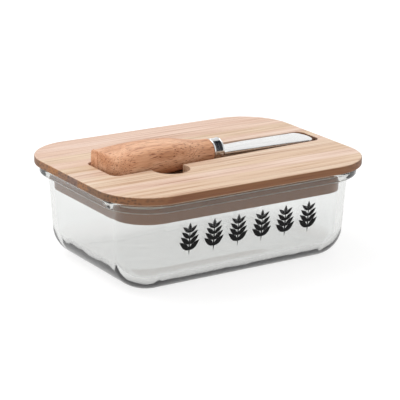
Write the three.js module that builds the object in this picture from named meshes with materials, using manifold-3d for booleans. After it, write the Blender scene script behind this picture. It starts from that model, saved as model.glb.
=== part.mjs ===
// A glass butter dish with a bamboo lid and a butter knife that lies in a slot in the lid.
//
// Millimetres, +Z up. The origin is the middle of the underside of the glass, on the table.
// The long sides run along X. The front long side faces -Y and the knife points along +X.
//
// Three things come apart by hand: the dish, the lid with its seal ring, and the knife.
// The lid is a board glued from bamboo staves that run along X. A cutter has worked it to a plate
// that covers the rim, a plug that fills the mouth, a groove for the seal, and the knife slot.
// Heights above the table are called level. Heights counted from the lid's top face are called
// above or below.

import * as THREE from "three";
import { mergeVertices } from "three/addons/utils/BufferGeometryUtils.js";
import Module from "manifold-3d";

const wasm = await Module();
wasm.setup();

// ---- driving dimensions ----------------------------------------------------------------------

// Lid board
const lidLength = 170;
const lidWidth = 125.4;
const lidCorner = 30.6; // radius of the plate's corners, seen from above
const plateThickness = 4.7;
const plateEase = 0.8; // rounding of the plate's edges
const plugDepth = 14.1;
const plugClearance = 1.2; // between plug and glass, all round, at the rim
const innerStaves = 8; // staves between the two edge staves

// Glass dish
const dishHeight = 54.5;
const lidOverhang = 2.9; // the lid stands out past the glass rim
const rimReach = 5; // the rim stands out past the wall below it
const rimHeight = 5.7;
const rimEase = 1.8; // rounding of the rim's outer edges
const mouthEase = 0.9; // rounding of the rim's inner edge
const wallThickness = 3.8;
const wallDraft = 3.4; // how far the wall leans in from the rim down to the table
const baseThickness = 5.5;
const heelRadius = 17; // rounding between the wall and the underside
const floorRadius = 12; // rounding between the wall and the inside floor

// Silicone seal ring and its groove in the plug
const grooveDepth = 2.2;
const grooveHeight = 4;
const grooveDrop = 1.1; // wood left between the groove and the plate
const grooveBacking = 2.9; // wood left behind the groove in each edge stave
const sealSlack = 0.2;
const lipClearance = 0.2; // between the relaxed lips and the glass
const lipThickness = 0.9;
const lipRise = 0.4; // the lips' tips lie this far in from the band's edges

// Knife slot and finger notch in the lid's top face
const slotButtMargin = 20; // from the lid's end to the slot, on the handle's side
const slotTipMargin = 5.2; // from the lid's end to the slot, on the blade's side
const slotCorner = 5;
const handleSlotDepth = 7.2;
const bladeSlotBacking = 1.5; // wood left under the blade, where the slot runs out past the plug
const noseGap = 1.2; // from the ferrule's nose to the step between the two depths
const notchRadius = 10.8;
const notchFromButt = 35.5; // from the slot's handle end to the notch's centre
const notchOffset = 1.5; // the notch's centre lies this far in front of the slot's widest part
const notchDepth = 8.7;

// Butter knife
const handleLength = 70.4; // wood that shows, from the butt to the ferrule
const handleFront = 13; // how far the handle's widest part reaches to the front
const handleBack = 13.3;
const ferruleLength = 7.4;
const ferruleHalfWidth = 7.2;
const ferruleHalfHeight = 7.2;
const ferruleWall = 0.8;
const ferruleNose = 1.4; // the wall that the tang comes through
const ferruleEase = 0.5;
const ferrulePower = 2; // a plain ellipse
const knifeAxisY = 1.3;
const ferruleAxisAbove = 0.3; // above the lid's top face
const bladeThickness = 1.2;
const bladeTopAbove = 0.3;
const bladeBack = 10; // how far the blade's straight back lies to the back
const bladeBelly = 8.6; // how far its widest part reaches to the front
const bladeBellyFromTip = 5.6;
const bladeRootFront = 5.2;
const bladeRootBack = 8.4;
const bladeNeckLength = 22; // over which the blade widens from its root
const tangLength = 32; // from the ferrule's nose back into the handle
const tangWidth = 6.4;
const tenonRoot = 5; // how far inside the handle the ferrule's tenon starts

// Clearances between pieces
const seatGap = 0.2; // between the glass rim and the lid that rests on it
const restGap = 0.2; // between the slot's floor and the handle that rests on it
const fitGap = 0.3; // between pieces that are pushed together
const buttGap = 1.8; // between the handle's end and the slot
const tipGap = 2.7; // between the blade's tip and the slot
const handleSideGap = 3; // between the handle's widest part and the slot, on each side
const bladeFrontGap = 1;
const bladeBackGap = 2.1;

// Facets of the curved surfaces
const cornerSteps = 9;
const arcSteps = 5;
const sectionSides = 28;
const easeSteps = 2;
const sameSpot = 1e-4; // corners closer than this are one corner

// ---- values that follow from them ------------------------------------------------------------

const coreX = lidLength / 2 - lidCorner; // the corner arcs are struck from (coreX, coreY)
const coreY = lidWidth / 2 - lidCorner;
const rimRadius = lidCorner - lidOverhang;
const wallTopRadius = rimRadius - rimReach;
const wallFootRadius = wallTopRadius - wallDraft;
const wallTopLevel = dishHeight - rimHeight;
const mouthRadius = wallTopRadius - wallThickness;
const floorEdgeRadius = wallFootRadius - wallThickness;

const plateLevel = dishHeight + seatGap; // underside of the plate
const topLevel = plateLevel + plateThickness;
const plugLevel = plateLevel - plugDepth;
const plugRadius = mouthRadius - plugClearance;
const grooveTopLevel = plateLevel - grooveDrop;
const grooveLevel = grooveTopLevel - grooveHeight;
const grooveRadius = plugRadius - grooveDepth;
const staveInnerEdge = coreY + grooveRadius - grooveBacking;

const slotButtX = slotButtMargin - lidLength / 2;
const slotTipX = lidLength / 2 - slotTipMargin;
const slotButtFront = handleFront + handleSideGap;
const slotButtBack = handleBack + handleSideGap;
const slotTipFront = bladeBelly + bladeFrontGap;
const slotTipBack = bladeBack + bladeBackGap;
const bladeSlotDepth = plateThickness - bladeSlotBacking;
const notchX = slotButtX + notchFromButt;
const notchY = -slotButtFront - notchOffset;

const buttX = slotButtX + buttGap;
const ferruleX = buttX + handleLength;
const noseX = ferruleX + ferruleLength;
const tipX = slotTipX - tipGap;
const bladeTopLevel = topLevel + bladeTopAbove;
const handleFoot = handleSlotDepth - restGap; // how far below the lid's top the handle reaches

// ---- finishes --------------------------------------------------------------------------------

const glass = { color: 0xe4ebe9, roughness: 0.04, metalness: 0, transparent: true, opacity: 0.35 };
const bamboo = { color: 0xe2c2a4, roughness: 0.55, metalness: 0 };
const silicone = { color: 0xd8d3ca, roughness: 0.5, metalness: 0 };
const beech = { color: 0xb87f57, roughness: 0.5, metalness: 0 };
const steel = { color: 0xdcdcdb, roughness: 0.15, metalness: 1 };

// ---- geometry tools --------------------------------------------------------------------------

// A lathe surface whose point in each column and row is put where place(column, row) says.
function wrap(columns, rows, place) {
  const profile = Array.from({ length: rows }, (_, row) => new THREE.Vector2(1, row));
  const geometry = new THREE.LatheGeometry(profile, columns);
  for (let column = 0; column <= columns; column++) {
    for (let row = 0; row < rows; row++) {
      const point = place(column % columns, row);
      geometry.attributes.position.setXYZ(column * rows + row, ...point);
    }
  }
  return geometry;
}

// A profile of [radius, level] points carried round the rounded rectangle of corner centres
// (coreX, coreY). A radius of zero is the middle of the dish.
function carryRound(profile) {
  const columnsPerCorner = cornerSteps + 1;
  return wrap(4 * columnsPerCorner, profile.length, (column, row) => {
    const [radius, level] = profile[row];
    if (radius === 0) return [0, 0, level];
    const corner = Math.floor(column / columnsPerCorner);
    const turn = (column % columnsPerCorner) / cornerSteps;
    const angle = ((corner + turn) * Math.PI) / 2;
    const signX = corner === 0 || corner === 3 ? 1 : -1;
    const signY = corner < 2 ? 1 : -1;
    const x = signX * coreX + radius * Math.cos(angle);
    const y = signY * coreY + radius * Math.sin(angle);
    return [x, y, level];
  });
}

// A body along X through oval sections. Each station gives the section's x, its front and back
// edges in y, its bottom and top levels, and the power of its superellipse: 2 is an ellipse, and
// more is squarer.
function loft(stations) {
  const rows = stations.length + 2;
  return wrap(sectionSides, rows, (column, row) => {
    const inside = Math.min(Math.max(row - 1, 0), stations.length - 1);
    const { x, front, back, bottom, top, power } = stations[inside];
    const middle = [x, (front + back) / 2, (bottom + top) / 2];
    if (row === 0 || row === rows - 1) return middle;
    const angle = (2 * Math.PI * column) / sectionSides;
    const across = Math.sign(Math.cos(angle)) * Math.abs(Math.cos(angle)) ** (2 / power);
    const upward = Math.sign(Math.sin(angle)) * Math.abs(Math.sin(angle)) ** (2 / power);
    const y = middle[1] + (across * (back - front)) / 2;
    const z = middle[2] + (upward * (top - bottom)) / 2;
    return [x, y, z];
  });
}

// Points of a quarter circle from one angle to another, in degrees, both ends included.
function arc(centreX, centreY, radius, from, to) {
  return Array.from({ length: arcSteps + 1 }, (_, step) => {
    const angle = THREE.MathUtils.degToRad(from + ((to - from) * step) / arcSteps);
    return [centreX + radius * Math.cos(angle), centreY + radius * Math.sin(angle)];
  });
}

// A flat outline in plan, raised from one level to another, with its edges rounded by ease.
function plate(shape, low, high, ease = 0) {
  const geometry = new THREE.ExtrudeGeometry(shape, {
    depth: high - low - 2 * ease,
    curveSegments: cornerSteps,
    bevelEnabled: ease > 0,
    bevelThickness: ease,
    bevelSize: ease,
    bevelOffset: -ease,
    bevelSegments: easeSteps,
  });
  return geometry.translate(0, 0, low + ease);
}

function block(lowX, highX, lowY, highY, low, high) {
  const geometry = new THREE.BoxGeometry(highX - lowX, highY - lowY, high - low);
  return geometry.translate((lowX + highX) / 2, (lowY + highY) / 2, (low + high) / 2);
}

// A closed geometry as a solid that can be joined and cut. Faces that shrank to a line are left out.
function solid(geometry) {
  const bare = geometry.clone();
  bare.deleteAttribute("normal");
  bare.deleteAttribute("uv");
  const merged = mergeVertices(bare, sameSpot);
  const corners = merged.index.array;
  const triangles = [];
  for (let i = 0; i < corners.length; i += 3) {
    const [a, b, c] = corners.slice(i, i + 3);
    if (a !== b && b !== c && c !== a) triangles.push(a, b, c);
  }
  const vertProperties = merged.attributes.position.array;
  const triVerts = new Uint32Array(triangles);
  return new wasm.Manifold(new wasm.Mesh({ numProp: 3, vertProperties, triVerts }));
}

function piece(name, body, finish) {
  const made = body.getMesh();
  const geometry = new THREE.BufferGeometry();
  geometry.setAttribute("position", new THREE.BufferAttribute(made.vertProperties, 3));
  geometry.setIndex(new THREE.BufferAttribute(made.triVerts, 1));
  const faceted = geometry.toNonIndexed();
  faceted.computeVertexNormals();
  const mesh = new THREE.Mesh(faceted, new THREE.MeshStandardMaterial(finish));
  mesh.name = name;
  return mesh;
}

// ---- glass dish ------------------------------------------------------------------------------

// How far the wall has leaned in at a level, counted from its top.
function draftAt(level) {
  return (wallDraft * (wallTopLevel - level)) / wallTopLevel;
}

// Outside from the middle of the underside up to the rim, then inside down to the floor's middle.
// The two fillets at the bottom are no larger than the corners that they run round.
function dish() {
  const ledge = wallTopLevel + rimEase;
  const brow = dishHeight - rimEase;
  const heelRound = Math.min(heelRadius, wallFootRadius);
  const heelStart = wallTopRadius - draftAt(heelRound) - heelRound;
  const heel = arc(heelStart, heelRound, heelRound, -90, 0);
  const coveRound = Math.min(floorRadius, floorEdgeRadius);
  const coveLevel = baseThickness + coveRound;
  const coveStart = mouthRadius - draftAt(coveLevel) - coveRound;
  const cove = arc(coveStart, coveLevel, coveRound, 0, -90);
  const mouthTop = mouthRadius - draftAt(dishHeight);
  const profile = [
    [0, 0],
    ...heel,
    [wallTopRadius, wallTopLevel],
    ...arc(rimRadius - rimEase, ledge, rimEase, -90, 0),
    ...arc(rimRadius - rimEase, brow, rimEase, 0, 90),
    ...arc(mouthTop + mouthEase, dishHeight - mouthEase, mouthEase, 90, 180),
    ...cove,
    [0, baseThickness],
  ];
  return solid(carryRound(profile));
}

// ---- lid -------------------------------------------------------------------------------------

function roundedRectangle(halfX, halfY, radius) {
  const shape = new THREE.Shape();
  shape.absarc(halfX - radius, halfY - radius, radius, 0, Math.PI / 2);
  shape.absarc(radius - halfX, halfY - radius, radius, Math.PI / 2, Math.PI);
  shape.absarc(radius - halfX, radius - halfY, radius, Math.PI, 1.5 * Math.PI);
  shape.absarc(halfX - radius, radius - halfY, radius, 1.5 * Math.PI, 2 * Math.PI);
  return shape;
}

// The slot is wide at the handle's butt and narrow at the blade's tip, with rounded corners.
function slotOutline() {
  const butt = slotButtX + slotCorner;
  const tip = slotTipX - slotCorner;
  const shape = new THREE.Shape();
  shape.absarc(tip, slotTipBack - slotCorner, slotCorner, 0, Math.PI / 2);
  shape.absarc(butt, slotButtBack - slotCorner, slotCorner, Math.PI / 2, Math.PI);
  shape.absarc(butt, slotCorner - slotButtFront, slotCorner, Math.PI, 1.5 * Math.PI);
  shape.absarc(tip, slotCorner - slotTipFront, slotCorner, 1.5 * Math.PI, 2 * Math.PI);
  return shape;
}

// The whole slot at the blade's depth, and the handle's part of it cut deeper.
function knifeSlot() {
  const above = topLevel + plateThickness;
  const handleLevel = topLevel - handleSlotDepth;
  const handleEnd = block(slotButtX - 1, noseX + noseGap, -lidWidth, lidWidth, handleLevel, above);
  const deep = solid(plate(slotOutline(), handleLevel, above)).intersect(solid(handleEnd));
  return solid(plate(slotOutline(), topLevel - bladeSlotDepth, above)).add(deep);
}

function notchOutline() {
  const shape = new THREE.Shape();
  shape.absarc(notchX, notchY, notchRadius, 0, 2 * Math.PI);
  return shape;
}

function groove() {
  const outside = plugRadius + grooveDepth;
  return carryRound([
    [grooveRadius, grooveLevel],
    [outside, grooveLevel],
    [outside, grooveTopLevel],
    [grooveRadius, grooveTopLevel],
    [grooveRadius, grooveLevel],
  ]);
}

function lidBoard() {
  const above = topLevel + plateThickness;
  const platePlan = roundedRectangle(lidLength / 2, lidWidth / 2, lidCorner);
  const plugPlan = roundedRectangle(coreX + plugRadius, coreY + plugRadius, plugRadius);
  const plugTopLevel = plateLevel + plateThickness / 2;
  return solid(plate(platePlan, plateLevel, topLevel, plateEase))
    .add(solid(plate(plugPlan, plugLevel, plugTopLevel)))
    .subtract(solid(groove()))
    .subtract(knifeSlot())
    .subtract(solid(plate(notchOutline(), topLevel - notchDepth, above)));
}

// The board cut along its glue lines, from the front edge to the back.
function staves(board) {
  const lines = [-lidWidth];
  for (let line = 0; line <= innerStaves; line++) {
    lines.push(staveInnerEdge * ((2 * line) / innerStaves - 1));
  }
  lines.push(lidWidth);
  const bodies = [];
  for (let line = 1; line < lines.length; line++) {
    const between = block(-lidLength, lidLength, lines[line - 1], lines[line], 0, 2 * topLevel);
    bodies.push(board.intersect(solid(between)));
  }
  return bodies;
}

// A band that fills the groove, with two thin lips that reach for the glass.
function sealRing() {
  const low = grooveLevel + sealSlack;
  const high = grooveTopLevel - sealSlack;
  const inner = grooveRadius + sealSlack;
  const waist = plugRadius - sealSlack;
  const lip = mouthRadius - draftAt(low) - lipClearance;
  return solid(
    carryRound([
      [inner, low],
      [waist, low],
      [lip, low + lipRise],
      [lip, low + lipRise + lipThickness / 2],
      [waist, low + 2 * lipThickness],
      [waist, high - 2 * lipThickness],
      [lip, high - lipRise - lipThickness / 2],
      [lip, high - lipRise],
      [waist, high],
      [inner, high],
      [inner, low],
    ]),
  );
}

// ---- butter knife ----------------------------------------------------------------------------

// The handle's sections, from the butt to the ferrule: distance from the butt, reach to the front
// and to the back, top above the lid's top face and bottom below it, and how square the section is.
// The butt is cut flat and its front corner is rounded off. The last sections are placed from the
// ferrule and grow into its oval.
function handleStations() {
  const neckFront = ferruleHalfWidth - knifeAxisY;
  const neckBack = ferruleHalfWidth + knifeAxisY;
  const neckTop = ferruleHalfHeight + ferruleAxisAbove;
  const neckFoot = ferruleHalfHeight - ferruleAxisAbove;
  const end = handleLength;
  const sections = [
    [0, handleFront - 18.6, handleBack - 0.3, 8.8, handleFoot - 0.5, 3.4],
    [0.9, handleFront - 11.8, handleBack - 0.2, 8.9, handleFoot - 0.3, 3.3],
    [2.2, handleFront - 8.2, handleBack, 9, handleFoot, 3.2],
    [4.8, handleFront - 4.2, handleBack, 9.3, handleFoot, 3.1],
    [7.6, handleFront - 1.7, handleBack, 9.6, handleFoot, 3],
    [11.6, handleFront - 0.1, handleBack - 0.1, 10.1, handleFoot, 3],
    [16, handleFront, handleBack - 0.2, 10.5, handleFoot, 3],
    [22, handleFront - 0.2, handleBack - 0.4, 10.8, handleFoot, 3],
    [33, handleFront - 1, handleBack - 0.7, 10.9, handleFoot, 2.9],
    [end - 23, neckFront + 4.3, neckBack + 3.2, neckTop + 2.7, handleFoot, 2.6],
    [end - 13, neckFront + 2.2, neckBack + 1.6, neckTop + 1.1, handleFoot, 2.3],
    [end - 6, neckFront + 0.7, neckBack + 0.4, neckTop + 0.3, neckFoot, ferrulePower],
    [end, neckFront, neckBack, neckTop, neckFoot, ferrulePower],
  ];
  return sections.map(([along, front, back, above, below, power]) => ({
    x: buttX + along,
    front: -front,
    back,
    bottom: topLevel - below,
    top: topLevel + above,
    power,
  }));
}

// One oval station of the ferrule, drawn in by inset all round.
function ferruleStation(x, inset) {
  const level = topLevel + ferruleAxisAbove;
  return {
    x,
    front: knifeAxisY - ferruleHalfWidth + inset,
    back: knifeAxisY + ferruleHalfWidth - inset,
    bottom: level - ferruleHalfHeight + inset,
    top: level + ferruleHalfHeight - inset,
    power: ferrulePower,
  };
}

// The blade seen from above: a straight back, a front that widens to the round tip, and the
// narrow tang that runs back through the ferrule into the handle.
function bladeOutline() {
  const root = noseX + fitGap;
  const neck = root + bladeNeckLength;
  const bellyX = tipX - bladeBellyFromTip;
  const waist = -(bladeRootFront + bladeBelly) / 2; // how far the two curves in front pull in
  const tipRound = bladeBelly / 2; // how full the tip's curves are
  const shape = new THREE.Shape();
  shape.moveTo(noseX - tangLength, knifeAxisY - tangWidth / 2);
  shape.lineTo(root, knifeAxisY - tangWidth / 2);
  shape.lineTo(root, -bladeRootFront);
  shape.bezierCurveTo(neck, waist, bellyX - 3 * tipRound, waist, bellyX, -bladeBelly);
  shape.bezierCurveTo(bellyX + tipRound, -bladeBelly, tipX, -tipRound, tipX, 0);
  shape.bezierCurveTo(tipX, tipRound, tipX - tipRound / 2, bladeBack, tipX - tipRound, bladeBack);
  shape.lineTo(neck, bladeBack);
  shape.bezierCurveTo(neck - tipRound, bladeBack, root + tipRound, bladeRootBack, root, bladeRootBack);
  shape.lineTo(root, knifeAxisY + tangWidth / 2);
  shape.lineTo(noseX - tangLength, knifeAxisY + tangWidth / 2);
  shape.closePath();
  return shape;
}

// The hole that the tang needs, from its hidden end to just past the ferrule's nose.
function tangHole() {
  return solid(
    block(
      noseX - tangLength - fitGap,
      noseX + fitGap,
      knifeAxisY - tangWidth / 2 - fitGap,
      knifeAxisY + tangWidth / 2 + fitGap,
      bladeTopLevel - bladeThickness - fitGap,
      bladeTopLevel + fitGap,
    ),
  );
}

function handle() {
  const wood = solid(loft(handleStations()));
  const inset = ferruleWall + fitGap;
  const tenonEnd = noseX - ferruleNose - fitGap;
  const tenon = loft([ferruleStation(ferruleX - tenonRoot, inset), ferruleStation(tenonEnd, inset)]);
  return wood.add(solid(tenon)).subtract(tangHole());
}

function ferrule() {
  const start = ferruleX + fitGap;
  const shell = loft([
    ferruleStation(start, ferruleEase),
    ferruleStation(start + ferruleEase, 0),
    ferruleStation(noseX - ferruleEase, 0),
    ferruleStation(noseX, ferruleEase),
  ]);
  const bore = loft([
    ferruleStation(start - ferruleLength, ferruleWall),
    ferruleStation(noseX - ferruleNose, ferruleWall),
  ]);
  return solid(shell).subtract(solid(bore)).subtract(tangHole());
}

function blade() {
  return solid(plate(bladeOutline(), bladeTopLevel - bladeThickness, bladeTopLevel));
}

// ---- assembly --------------------------------------------------------------------------------

const butterDish = new THREE.Group();
butterDish.name = "butter_dish";

const lid = new THREE.Group();
lid.name = "lid";
staves(lidBoard()).forEach((body, index) => {
  const number = String(index + 1).padStart(2, "0");
  lid.add(piece(`lid_stave_${number}`, body, bamboo));
});
lid.add(piece("seal_ring", sealRing(), silicone));

const knife = new THREE.Group();
knife.name = "knife";
knife.add(piece("knife_handle", handle(), beech));
knife.add(piece("knife_ferrule", ferrule(), steel));
knife.add(piece("knife_blade", blade(), steel));

butterDish.add(piece("glass_dish", dish(), glass), lid, knife);

export default butterDish;
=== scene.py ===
"""A glass butter dish, its bamboo lid with a seal ring, and the butter knife that lies in the lid.

Lengths are millimetres until a mesh is made, +Z is up, and the long sides run along X. The dish's
front long side faces -Y, and the knife's tip points along +X.
"""

import math

import bmesh
import bpy
import numpy as np
from mathutils import Matrix, Vector


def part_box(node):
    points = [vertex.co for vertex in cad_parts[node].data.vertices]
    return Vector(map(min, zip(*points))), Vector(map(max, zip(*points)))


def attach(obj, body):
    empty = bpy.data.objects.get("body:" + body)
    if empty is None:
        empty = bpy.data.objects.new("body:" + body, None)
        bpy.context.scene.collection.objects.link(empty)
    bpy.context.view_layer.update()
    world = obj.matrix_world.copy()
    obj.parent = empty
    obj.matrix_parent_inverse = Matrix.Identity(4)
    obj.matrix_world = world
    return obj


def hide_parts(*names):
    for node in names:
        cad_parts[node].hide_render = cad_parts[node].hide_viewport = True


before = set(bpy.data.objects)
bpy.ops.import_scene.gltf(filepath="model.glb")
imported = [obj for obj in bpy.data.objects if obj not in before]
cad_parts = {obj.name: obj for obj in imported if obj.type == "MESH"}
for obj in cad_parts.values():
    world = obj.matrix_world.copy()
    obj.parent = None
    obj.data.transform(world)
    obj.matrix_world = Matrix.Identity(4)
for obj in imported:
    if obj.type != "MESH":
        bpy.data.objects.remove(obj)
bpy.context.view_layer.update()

MM = 0.001

# ---- sizes -----------------------------------------------------------------------------------

STAVES = sorted(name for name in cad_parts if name.startswith("lid_stave_"))


def node_box(node):
    """The lowest and the highest corner of a CAD node, in millimetres."""
    return np.array([list(corner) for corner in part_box(node)]) / MM


stave_boxes = np.array([node_box(name) for name in STAVES])
lid_half = stave_boxes[:, 1].max(axis=0)[:2]
lid_top = stave_boxes[:, 1, 2].max()
plug_foot = stave_boxes[:, 0, 2].min()
glue_lines = stave_boxes[:-1, 1, 1]
dish_half = node_box("glass_dish")[1][:2]
dish_height = node_box("glass_dish")[1][2]
handle_low, handle_high = node_box("knife_handle")
ferrule_low, ferrule_high = node_box("knife_ferrule")
blade_low, blade_high = node_box("knife_blade")

# Lid board
LID_CORNER = 30.6
PLATE_THICKNESS = 4.7
PLATE_EASE = 0.8
PLUG_RADIUS = 17.7
PLUG_EASE = 0.6
PLUG_SHADE_FROM = 5  # below the lid's top, where the plug's painted shade, a deeper brown, starts
PLUG_SHADE_FULL = 6
POCKETS_WITHIN = (66, 44)  # half-sizes of the area that holds the slot and the notch
GROOVE_RADIUS = 15.5
GROOVE_LOW = 49.6
GROOVE_HIGH = 53.6

# Glass
RIM_HEIGHT = 5.7
RIM_EASE = 1.8
RIM_REACH = 5
LEDGE_FILLET = 1.2
MOUTH_EASE = 0.9
WALL_THICKNESS = 3.8
WALL_DRAFT = 3.4
BASE_THICKNESS = 5.5
HEEL_RADIUS = 17
FLOOR_RADIUS = 12

# Knife slot and finger notch
SLOT_BUTT_X = -65
SLOT_TIP_X = 79.8
SLOT_CORNER = 5
SLOT_FRONT = (-16, -9.6)  # at the butt and at the tip
SLOT_BACK = (16.3, 12.1)
SLOT_STEP_X = 15.8
HANDLE_SLOT_DEPTH = 7.2
BLADE_SLOT_DEPTH = 3.2
NOTCH_CENTRE = (-29.5, -17.5)
NOTCH_RADIUS = 10.8
NOTCH_DEPTH = 8.7
CUTTER_ROUND = 0.6  # rounding that the cutter leaves round a pocket's floor
RIM_ROUND = 0.45  # sanded edge of the slot and the notch
CUTTER_RISE = 2  # of a cutter's shape above the lid

# Knife handle. Each measure is given at distances from the butt, as (distance, size), and then by
# how far it stands out from the ferrule's outside at each of NECK_BEFORE before the ferrule.
HANDLE_LENGTH = 70.4
HANDLE_FRONT = ((0, 13), (16, 13), (33, 12))
HANDLE_BACK = ((0, 13), (2.2, 13.3), (16, 13.1), (33, 12.6))
HANDLE_ABOVE = ((0, 8.8), (2.2, 9), (7.6, 9.6), (16, 10.5), (22, 10.8), (33, 10.9))
HANDLE_BELOW = ((0, 6.5), (2.2, 7), (16, 7), (33, 7))
NECK_BEFORE = (23, 13, 6, 0)
NECK_FRONT = (4.3, 2.2, 0.7, 0)
NECK_BACK = (3.2, 1.6, 0.4, 0)
NECK_ABOVE = (2.7, 1.1, 0.3, 0)
NECK_BELOW = (0.1, 0.1, 0, 0)
# The sections' powers at distances from the butt: boxy at the butt, a plain ellipse at the ferrule
POWER_PLACES = (0, 7.6, 33, HANDLE_LENGTH - 23, HANDLE_LENGTH - 13, HANDLE_LENGTH - 6)
LOWER_POWERS = (3.4, 3, 2.9, 2.6, 2.3, 2)
UPPER_POWERS = (4.4, 4.8, 4.6, 3.6, 2.7, 2)
# The butt: its front corner is a quarter ellipse in plan, and a fine groove runs round its end
BUTT_CORNER_LENGTH = 13
BUTT_CORNER_WIDTH = 18.6
BUTT_END_SHARE = 0.96  # of the section behind it
BUTT_GROOVE_SHARE = 0.955
BUTT_GROOVE_X = 0.45
BUTT_WOOD_X = 0.6  # where the groove ends

# Ferrule, tang and blade
KNIFE_AXIS_Y = 1.3
FERRULE_AXIS_ABOVE = 0.3
FERRULE_HALF_WIDTH = 7.2
FERRULE_HALF_HEIGHT = 7.2
FERRULE_WALL = 0.8
FERRULE_NOSE = 1.4
FERRULE_POWER = 2
FERRULE_EASE = 0.5
BEAD_HEIGHT = 0.28
BEAD_PLACE = 0.6  # from each end of the ferrule
BEAD_HALF_WIDTH = 0.5
TANG_HALF_WIDTH = 3.2
HANDLE_HOLE_POWER = 12.0  # nearly square corners
FERRULE_HOLE_POWER = 6.0
FIT_GAP = 0.3
BLADE_BACK = 10.0  # reach of the blade behind y = 0, and of its other points
BLADE_BELLY = 8.6
ROOT_FRONT = 5.2
ROOT_BACK = 8.4
BLADE_NECK_LENGTH = 22
BELLY_FROM_TIP = 5.6
BLADE_EASE = 0.35

# Print on the front of the glass
PRINT_THICKNESS = 0.06
PRINT_LENGTH = 88
PRINT_HEIGHT = 19
PRINT_LEVEL = 30.2
SPRIGS = 6
SPRIG_WIDTH = 9
LEAF_PAIRS = 4
LEAF_FIRST = 3  # level of the lowest pair on the stem
LEAF_STEP = 3.4
LEAF_SPREAD = 50  # degrees from the stem
LEAF_LENGTH = 8.4
LEAF_SHRINK = 0.8  # from each pair to the next
LEAF_SLIMNESS = 0.38  # width over length
STEM_WIDTH = 1.0
STEM_SHORTER = 2.0  # than the print's height
BUD_LEVEL = 13
BUD_LENGTH = 6.0
BUD_WIDTH = 2.4

core = lid_half - LID_CORNER  # centres of the corner arcs, for the lid, the glass and the seal


# ---- surfaces --------------------------------------------------------------------------------


def surface(name, points, ends="caps"):
    """A closed mesh from a grid of points, columns by rows, that closes round its columns.

    Each quad joins a column to the next and a row to the next. With ends "caps" the first and the
    last row are each closed by one flat face, with "poles" by a fan to the row's mean point, and
    with "ring" the last row joins the first. The faces are turned so that the volume, a sixth of
    the sum of a . (b x c) over the triangles, is positive.
    """
    columns, rows = points.shape[:2]
    index = np.arange(columns * rows).reshape(columns, rows)
    if ends == "ring":
        index = np.column_stack([index, index[:, 0]])
    after = np.roll(index, -1, axis=0)
    quads = np.stack([index[:, :-1], after[:, :-1], after[:, 1:], index[:, 1:]], axis=-1)
    quads = quads.reshape(-1, 4)
    vertices = points.reshape(-1, 3) * MM
    poles = points[:, [0, -1]].mean(axis=0) * MM
    everything = np.vstack([vertices, poles])
    first = np.full(columns, columns * rows)
    fans = np.vstack([
        np.stack([first, after[:, 0], index[:, 0]], axis=-1),
        np.stack([first + 1, index[:, -1], after[:, -1]], axis=-1),
    ])
    triangles = np.vstack([quads[:, :3], quads[:, [0, 2, 3]]])
    if ends != "ring":
        triangles = np.vstack([triangles, fans])
    a, b, c = np.moveaxis(everything[triangles], 1, 0)
    outward = (a * np.cross(b, c)).sum() > 0
    faces = quads.tolist()
    if ends == "caps":
        faces += [index[::-1, 0].tolist(), index[:, -1].tolist()]
    if ends == "poles":
        faces += fans.tolist()
        vertices = everything
    if not outward:
        faces = [face[::-1] for face in faces]
    mesh = bpy.data.meshes.new(name)
    mesh.from_pydata(vertices.tolist(), [], faces)
    return mesh


def place(name, mesh, crease=35):
    """An object for a mesh, shaded smooth except across edges sharper than crease degrees."""
    mesh.polygons.foreach_set("use_smooth", np.ones(len(mesh.polygons), bool))
    mesh.set_sharp_from_angle(angle=math.radians(crease))
    piece = bpy.data.objects.new(name, mesh)
    bpy.context.scene.collection.objects.link(piece)
    return piece


def fit(piece, body, slot, material, *nodes):
    """Gives a piece its finish and lets it ride on a CAD body in place of the CAD nodes."""
    piece.data.materials.clear()
    piece.data.materials.append(material)
    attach(piece, body)
    if nodes:
        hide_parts(*nodes)


def arc(centre, radius, start, end, steps):
    """Points of an arc: centre plus radius times (cos, sin) of angles in degrees, start to end."""
    angle = np.radians(np.linspace(start, end, steps + 1))
    return np.array(centre) + radius * np.column_stack([np.cos(angle), np.sin(angle)])


def carry_round(profile, steps=24):
    """A profile of (radius, level) points carried round a rounded rectangle, its corners at core.

    A column's point in plan is its corner's centre plus radius times (cos, sin) of its angle, so
    each radius makes an outline parallel to all others.
    """
    radius, level = np.vstack(profile).T
    turns = np.arange(4)[:, None] + np.linspace(0, 1, steps + 1)
    angle = turns.ravel() * math.pi / 2
    signs = np.array([[1, 1], [-1, 1], [-1, -1], [1, -1]])
    centres = np.repeat(signs * core, steps + 1, axis=0)
    directions = np.column_stack([np.cos(angle), np.sin(angle)])
    plan = centres[:, None] + directions[:, None] * radius[:, None]
    levels = np.broadcast_to(level[:, None], plan.shape[:2] + (1,))
    return np.concatenate([plan, levels], axis=-1)


def hermite(x, stations, values):
    """A smooth curve through the stations: cubics with their neighbours' mean slopes as slopes."""
    stations, values = np.array(stations, float), np.array(values, float)
    slope = np.gradient(values, stations)
    left = np.clip(np.searchsorted(stations, x, side="right") - 1, 0, len(stations) - 2)
    width = stations[left + 1] - stations[left]
    t = (x - stations[left]) / width
    start = values[left] * (1 + 2 * t) * (1 - t) ** 2 + slope[left] * width * t * (1 - t) ** 2
    end = values[left + 1] * t**2 * (3 - 2 * t) + slope[left + 1] * width * t**2 * (t - 1)
    return start + end


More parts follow.
